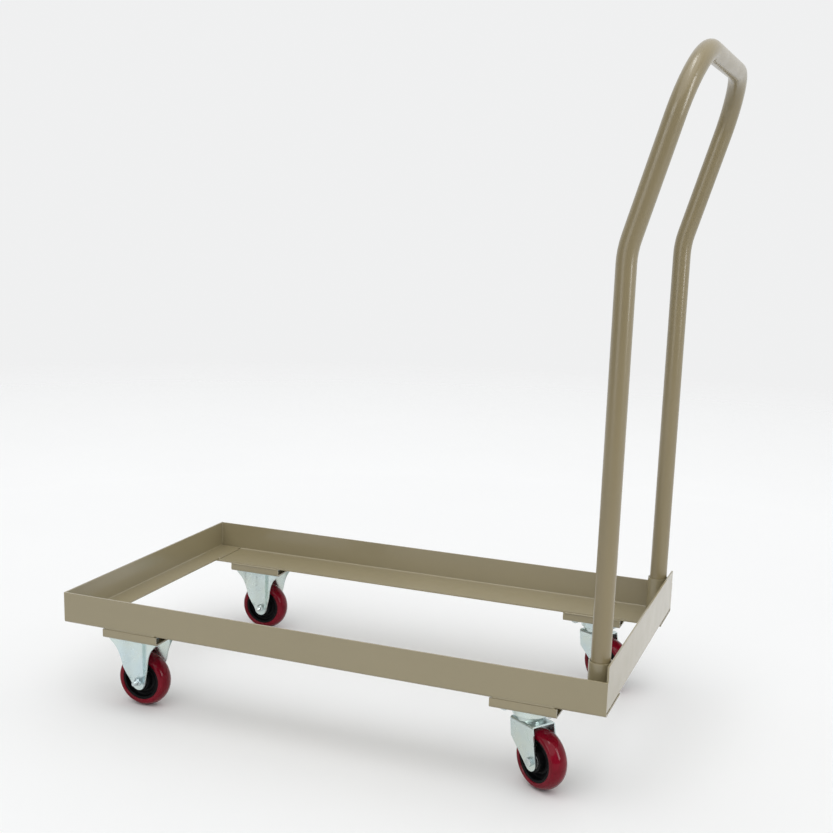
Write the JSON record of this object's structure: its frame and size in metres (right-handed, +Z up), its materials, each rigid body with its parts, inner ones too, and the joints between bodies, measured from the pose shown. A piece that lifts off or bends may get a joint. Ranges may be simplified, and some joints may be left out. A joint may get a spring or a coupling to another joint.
{
  "type": "platform cart",
  "caption": "Open angle-rail platform cart for flat-stacked folding chairs: rigid and swivel casters with urethane wheels, lift-out bent tube push handle.",
  "frame": {"origin": "on the floor under the middle of the overall length, 39.3 mm towards the handle from the middle of the tray", "axes": "+Z up, +X along the tray towards the handle, -Y the left side for someone pushing"},
  "size_m": [1.0886, 0.5795, 1.1728],
  "materials": {
    "frame_paint": "satin powder coat, tan",
    "handle_paint": "semi-gloss powder coat, tan",
    "zinc": "bright blue zinc plate",
    "fasteners": "zinc plate",
    "plain_steel": "ground steel",
    "hub_plastic": "moulded, satin",
    "tyre_urethane": "glossy maroon polyurethane"
  },
  "bodies": {
    "tray": {"side_rail_left": "frame_paint", "side_rail_right": "frame_paint", "front_end_rail": "frame_paint", "handle_end_rail": "frame_paint", "handle_socket_left": "frame_paint", "handle_socket_right": "frame_paint", "caster_pad_front_left": "frame_paint", "caster_pad_front_right": "frame_paint", "caster_pad_rear_left": "frame_paint", "caster_pad_rear_right": "frame_paint", "rigid_yoke_left": "zinc", "rigid_yoke_right": "zinc", "mounting_bolts_front_left": "fasteners", "mounting_bolts_front_right": "fasteners", "mounting_bolts_rear_left": "fasteners", "mounting_bolts_rear_right": "fasteners", "mounting_nuts_front_left": "fasteners", "mounting_nuts_front_right": "fasteners", "mounting_nuts_rear_left": "fasteners", "mounting_nuts_rear_right": "fasteners", "swivel_plate_left": "zinc", "king_pin_left": "plain_steel", "swivel_plate_right": "zinc", "king_pin_right": "plain_steel", "axle_bolt_front_left": "fasteners", "axle_nut_front_left": "fasteners", "axle_sleeve_front_left": "plain_steel", "axle_bolt_front_right": "fasteners", "axle_nut_front_right": "fasteners", "axle_sleeve_front_right": "plain_steel"},
    "handle": {"push_handle": "handle_paint"},
    "fork_left": {"swivel_fork_left": "zinc", "race_balls_left": "plain_steel", "axle_bolt_rear_left": "fasteners", "axle_nut_rear_left": "fasteners", "axle_sleeve_rear_left": "plain_steel"},
    "fork_right": {"swivel_fork_right": "zinc", "race_balls_right": "plain_steel", "axle_bolt_rear_right": "fasteners", "axle_nut_rear_right": "fasteners", "axle_sleeve_rear_right": "plain_steel"},
    "wheel_front_left": {"wheel_hub_front_left": "hub_plastic", "tyre_front_left": "tyre_urethane", "hub_bearings_front_left": "plain_steel"},
    "wheel_front_right": {"wheel_hub_front_right": "hub_plastic", "tyre_front_right": "tyre_urethane", "hub_bearings_front_right": "plain_steel"},
    "wheel_rear_left": {"wheel_hub_rear_left": "hub_plastic", "tyre_rear_left": "tyre_urethane", "hub_bearings_rear_left": "plain_steel"},
    "wheel_rear_right": {"wheel_hub_rear_right": "hub_plastic", "tyre_rear_right": "tyre_urethane", "hub_bearings_rear_right": "plain_steel"}
  },
  "joints": [
    {"name": "handle_lift", "type": "slide", "parent": "tray", "child": "handle", "axis": [0, 0, 1], "range_m": [0, 0.09]},
    {"name": "swivel_left", "type": "hinge", "parent": "tray", "child": "fork_left", "pos_m": [0.33167, -0.236, 0.11], "axis": [0, 0, 1], "continuous": true},
    {"name": "swivel_right", "type": "hinge", "parent": "tray", "child": "fork_right", "pos_m": [0.33167, 0.236, 0.11], "axis": [0, 0, 1], "continuous": true},
    {"name": "wheel_spin_front_left", "type": "hinge", "parent": "tray", "child": "wheel_front_left", "pos_m": [-0.40533, -0.236, 0.0508], "axis": [0, 1, 0], "continuous": true},
    {"name": "wheel_spin_front_right", "type": "hinge", "parent": "tray", "child": "wheel_front_right", "pos_m": [-0.40533, 0.236, 0.0508], "axis": [0, 1, 0], "continuous": true},
    {"name": "wheel_spin_rear_left", "type": "hinge", "parent": "fork_left", "child": "wheel_rear_left", "pos_m": [0.35903, -0.25445, 0.0508], "axis": [0.5592, 0.829, 0], "continuous": true},
    {"name": "wheel_spin_rear_right", "type": "hinge", "parent": "fork_right", "child": "wheel_rear_right", "pos_m": [0.36133, 0.22153, 0.0508], "axis": [0.4384, 0.8988, 0], "continuous": true}
  ]
}
